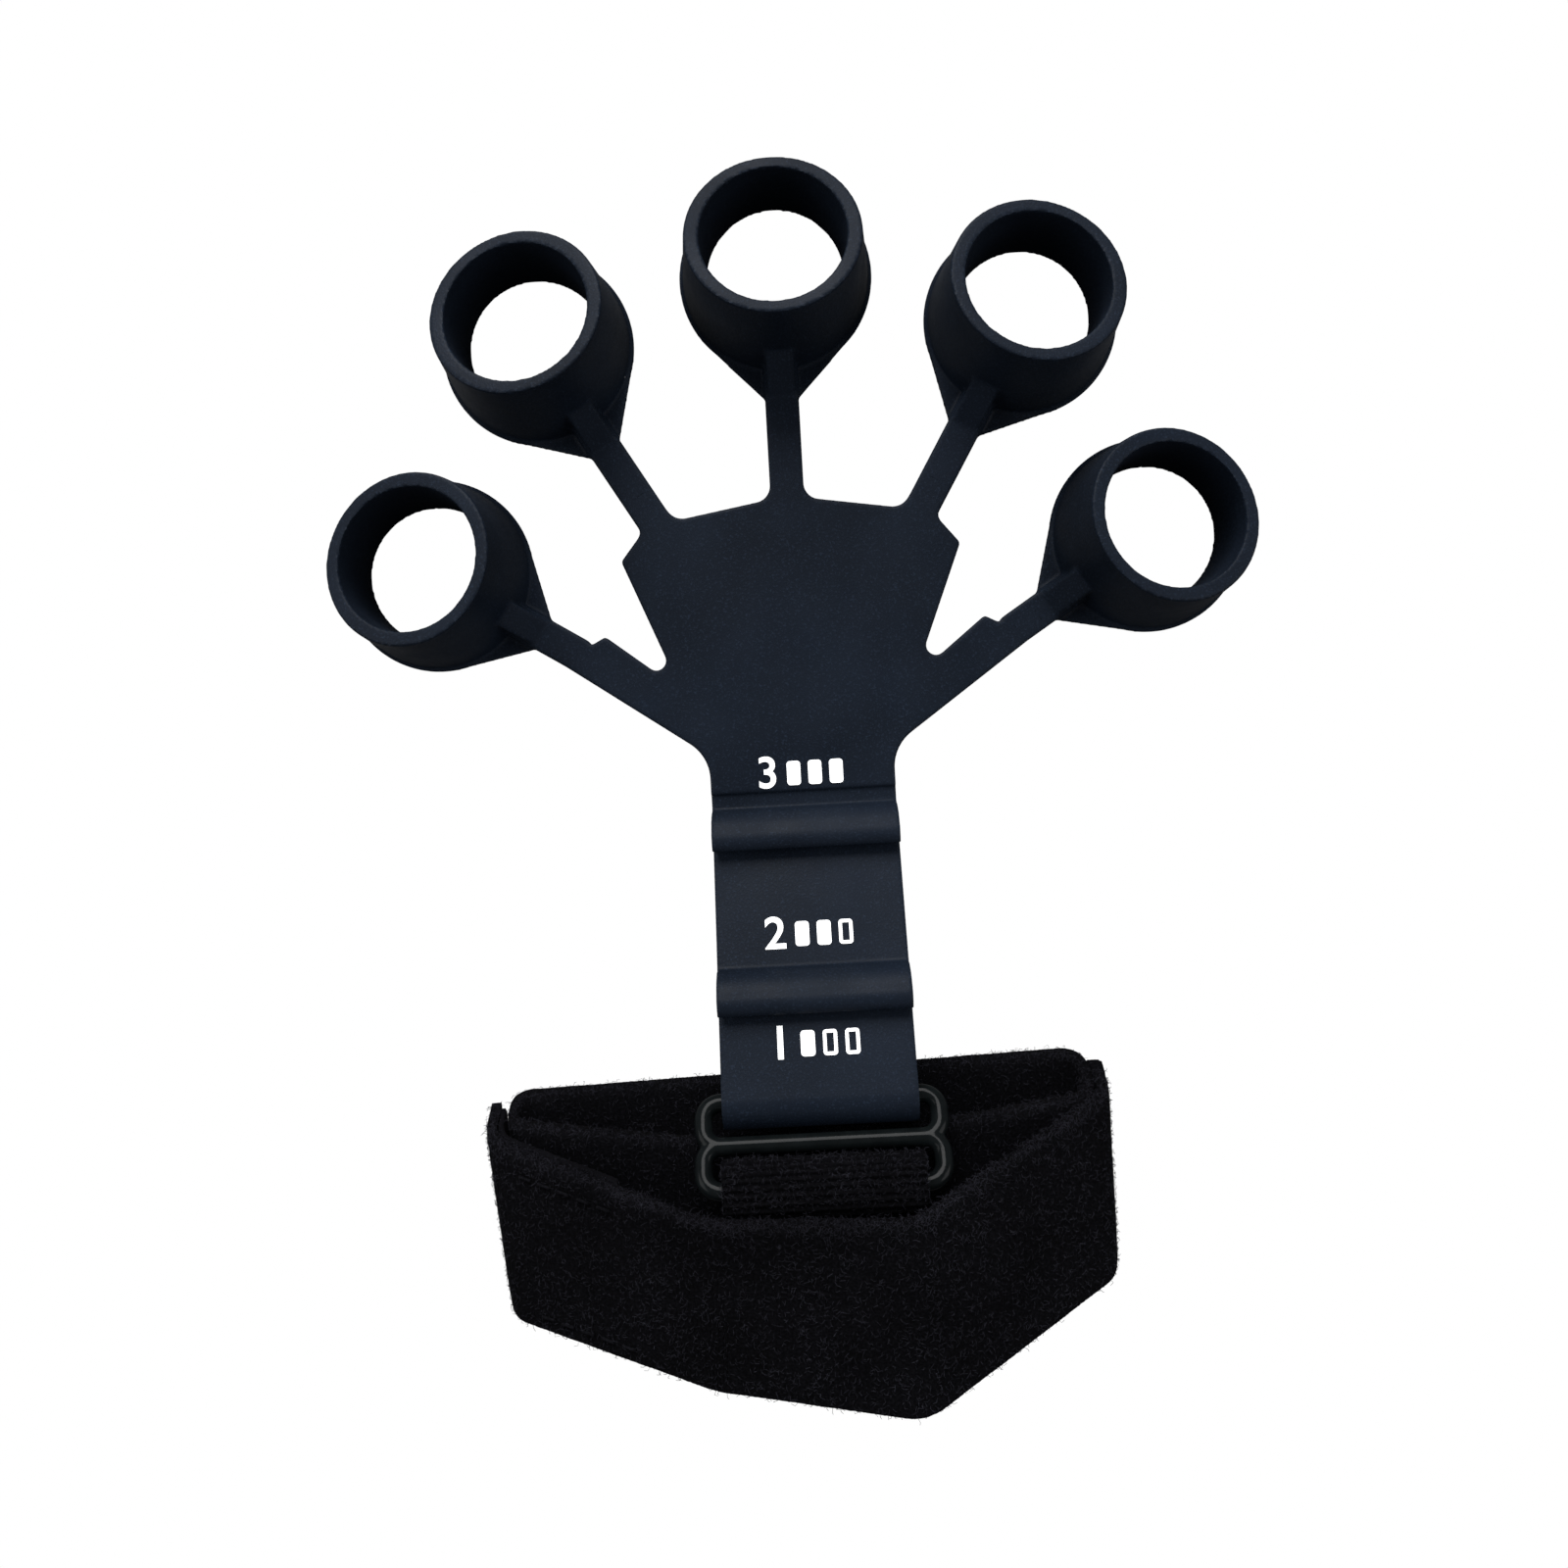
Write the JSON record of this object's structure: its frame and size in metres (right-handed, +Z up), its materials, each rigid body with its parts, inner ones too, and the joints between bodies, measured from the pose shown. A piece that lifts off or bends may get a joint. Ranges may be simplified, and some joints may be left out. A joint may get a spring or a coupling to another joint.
{
  "type": "finger exerciser",
  "caption": "Hand strengthener: sprung finger loops on rubber arms round a palm pad, with a ridged pull strap hooked to a buckle on an adjustable wristband.",
  "frame": {"origin": "middle of the footprint, on the surface the object lies on", "axes": "+Z up out of the loops' front rims, +Y towards the fingers, -Y towards the wristband, +X to the right seen from above"},
  "size_m": [0.167, 0.2158, 0.0312],
  "materials": {
    "silicone": "satin",
    "ink": "printed",
    "buckle_plastic": "moulded gloss",
    "webbing": "brushed loop pile",
    "hook_tape": "moulded hooks",
    "thread": "matt"
  },
  "bodies": {
    "palm": {"palm_pad": "silicone", "level_mark_3": "ink"},
    "thumb_arm": {"thumb_arm": "silicone"},
    "thumb_loop": {"thumb_loop": "silicone"},
    "index_arm": {"index_arm": "silicone"},
    "index_loop": {"index_loop": "silicone"},
    "middle_arm": {"middle_arm": "silicone"},
    "middle_loop": {"middle_loop": "silicone"},
    "ring_finger_arm": {"ring_finger_arm": "silicone"},
    "ring_finger_loop": {"ring_finger_loop": "silicone"},
    "little_arm": {"little_arm": "silicone"},
    "little_loop": {"little_loop": "silicone"},
    "strap_root": {"strap_root": "silicone"},
    "strap_middle": {"strap_middle": "silicone", "level_mark_2": "ink"},
    "strap_hook": {"strap_hook": "silicone", "level_mark_1": "ink"},
    "buckle": {"buckle": "buckle_plastic"},
    "wristband": {"wristband": "webbing", "webbing_tab": "webbing", "tab_stitches": "thread", "flap_seam": "webbing"},
    "flap": {"wristband_flap": "webbing", "hook_patch": "hook_tape", "flap_stitches": "thread"}
  },
  "joints": [
    {"name": "thumb_bend", "type": "hinge", "parent": "palm", "child": "thumb_arm", "pos_m": [-0.04248, 0.02391, 0.0018], "axis": [0.5358, 0.8443, 0], "range_deg": [-30, 50], "stiffness_Nm_per_rad": 0.02},
    {"name": "thumb_stretch", "type": "slide", "parent": "thumb_arm", "child": "thumb_loop", "axis": [-0.8443, 0.5358, 0], "range_m": [0, 0.02], "stiffness_N_per_m": 600},
    {"name": "index_bend", "type": "hinge", "parent": "palm", "child": "index_arm", "pos_m": [-0.02632, 0.04869, 0.0018], "axis": [0.8599, 0.5105, 0], "range_deg": [-30, 50], "stiffness_Nm_per_rad": 0.02},
    {"name": "index_stretch", "type": "slide", "parent": "index_arm", "child": "index_loop", "axis": [-0.5105, 0.8599, 0], "range_m": [0, 0.02], "stiffness_N_per_m": 600},
    {"name": "middle_bend", "type": "hinge", "parent": "palm", "child": "middle_arm", "pos_m": [0, 0.05415, 0.0018], "axis": [1, 0, 0], "range_deg": [-30, 50], "stiffness_Nm_per_rad": 0.02},
    {"name": "middle_stretch", "type": "slide", "parent": "middle_arm", "child": "middle_loop", "axis": [0, 1, 0], "range_m": [0, 0.02], "stiffness_N_per_m": 600},
    {"name": "ring_finger_bend", "type": "hinge", "parent": "palm", "child": "ring_finger_arm", "pos_m": [0.02632, 0.04869, 0.0018], "axis": [0.8599, -0.5105, 0], "range_deg": [-30, 50], "stiffness_Nm_per_rad": 0.02},
    {"name": "ring_finger_stretch", "type": "slide", "parent": "ring_finger_arm", "child": "ring_finger_loop", "axis": [0.5105, 0.8599, 0], "range_m": [0, 0.02], "stiffness_N_per_m": 600},
    {"name": "little_bend", "type": "hinge", "parent": "palm", "child": "little_arm", "pos_m": [0.04248, 0.02391, 0.0018], "axis": [0.5358, -0.8443, 0], "range_deg": [-30, 50], "stiffness_Nm_per_rad": 0.02},
    {"name": "little_stretch", "type": "slide", "parent": "little_arm", "child": "little_loop", "axis": [0.8443, 0.5358, 0], "range_m": [0, 0.02], "stiffness_N_per_m": 600},
    {"name": "strap_bend", "type": "hinge", "parent": "palm", "child": "strap_root", "pos_m": [0, -0.00645, 0.0015], "axis": [-1, 0, 0], "range_deg": [-15, 60], "stiffness_Nm_per_rad": 0.06},
    {"name": "strap_stretch", "type": "slide", "parent": "strap_root", "child": "strap_middle", "axis": [0, -0.9472, 0.3206], "range_m": [0, 0.015], "stiffness_N_per_m": 1500},
    {"name": "strap_flex", "type": "hinge", "parent": "strap_middle", "child": "strap_hook", "pos_m": [0, -0.04671, 0.01452], "axis": [-1, 0, 0], "range_deg": [-25, 25], "stiffness_Nm_per_rad": 0.06},
    {"name": "hook_turn", "type": "hinge", "parent": "strap_hook", "child": "buckle", "pos_m": [0, -0.05865, 0.0152], "axis": [-1, 0, 0], "range_deg": [-35, 75]},
    {"name": "tab_turn", "type": "hinge", "parent": "buckle", "child": "wristband", "pos_m": [0, -0.07182, 0.0228], "axis": [-1, 0, 0], "range_deg": [-3, 60]},
    {"name": "flap_peel", "type": "hinge", "parent": "wristband", "child": "flap", "pos_m": [0.05095, 0.03495, 0.007], "axis": [0, 1, 0], "range_deg": [0, 90]}
  ]
}
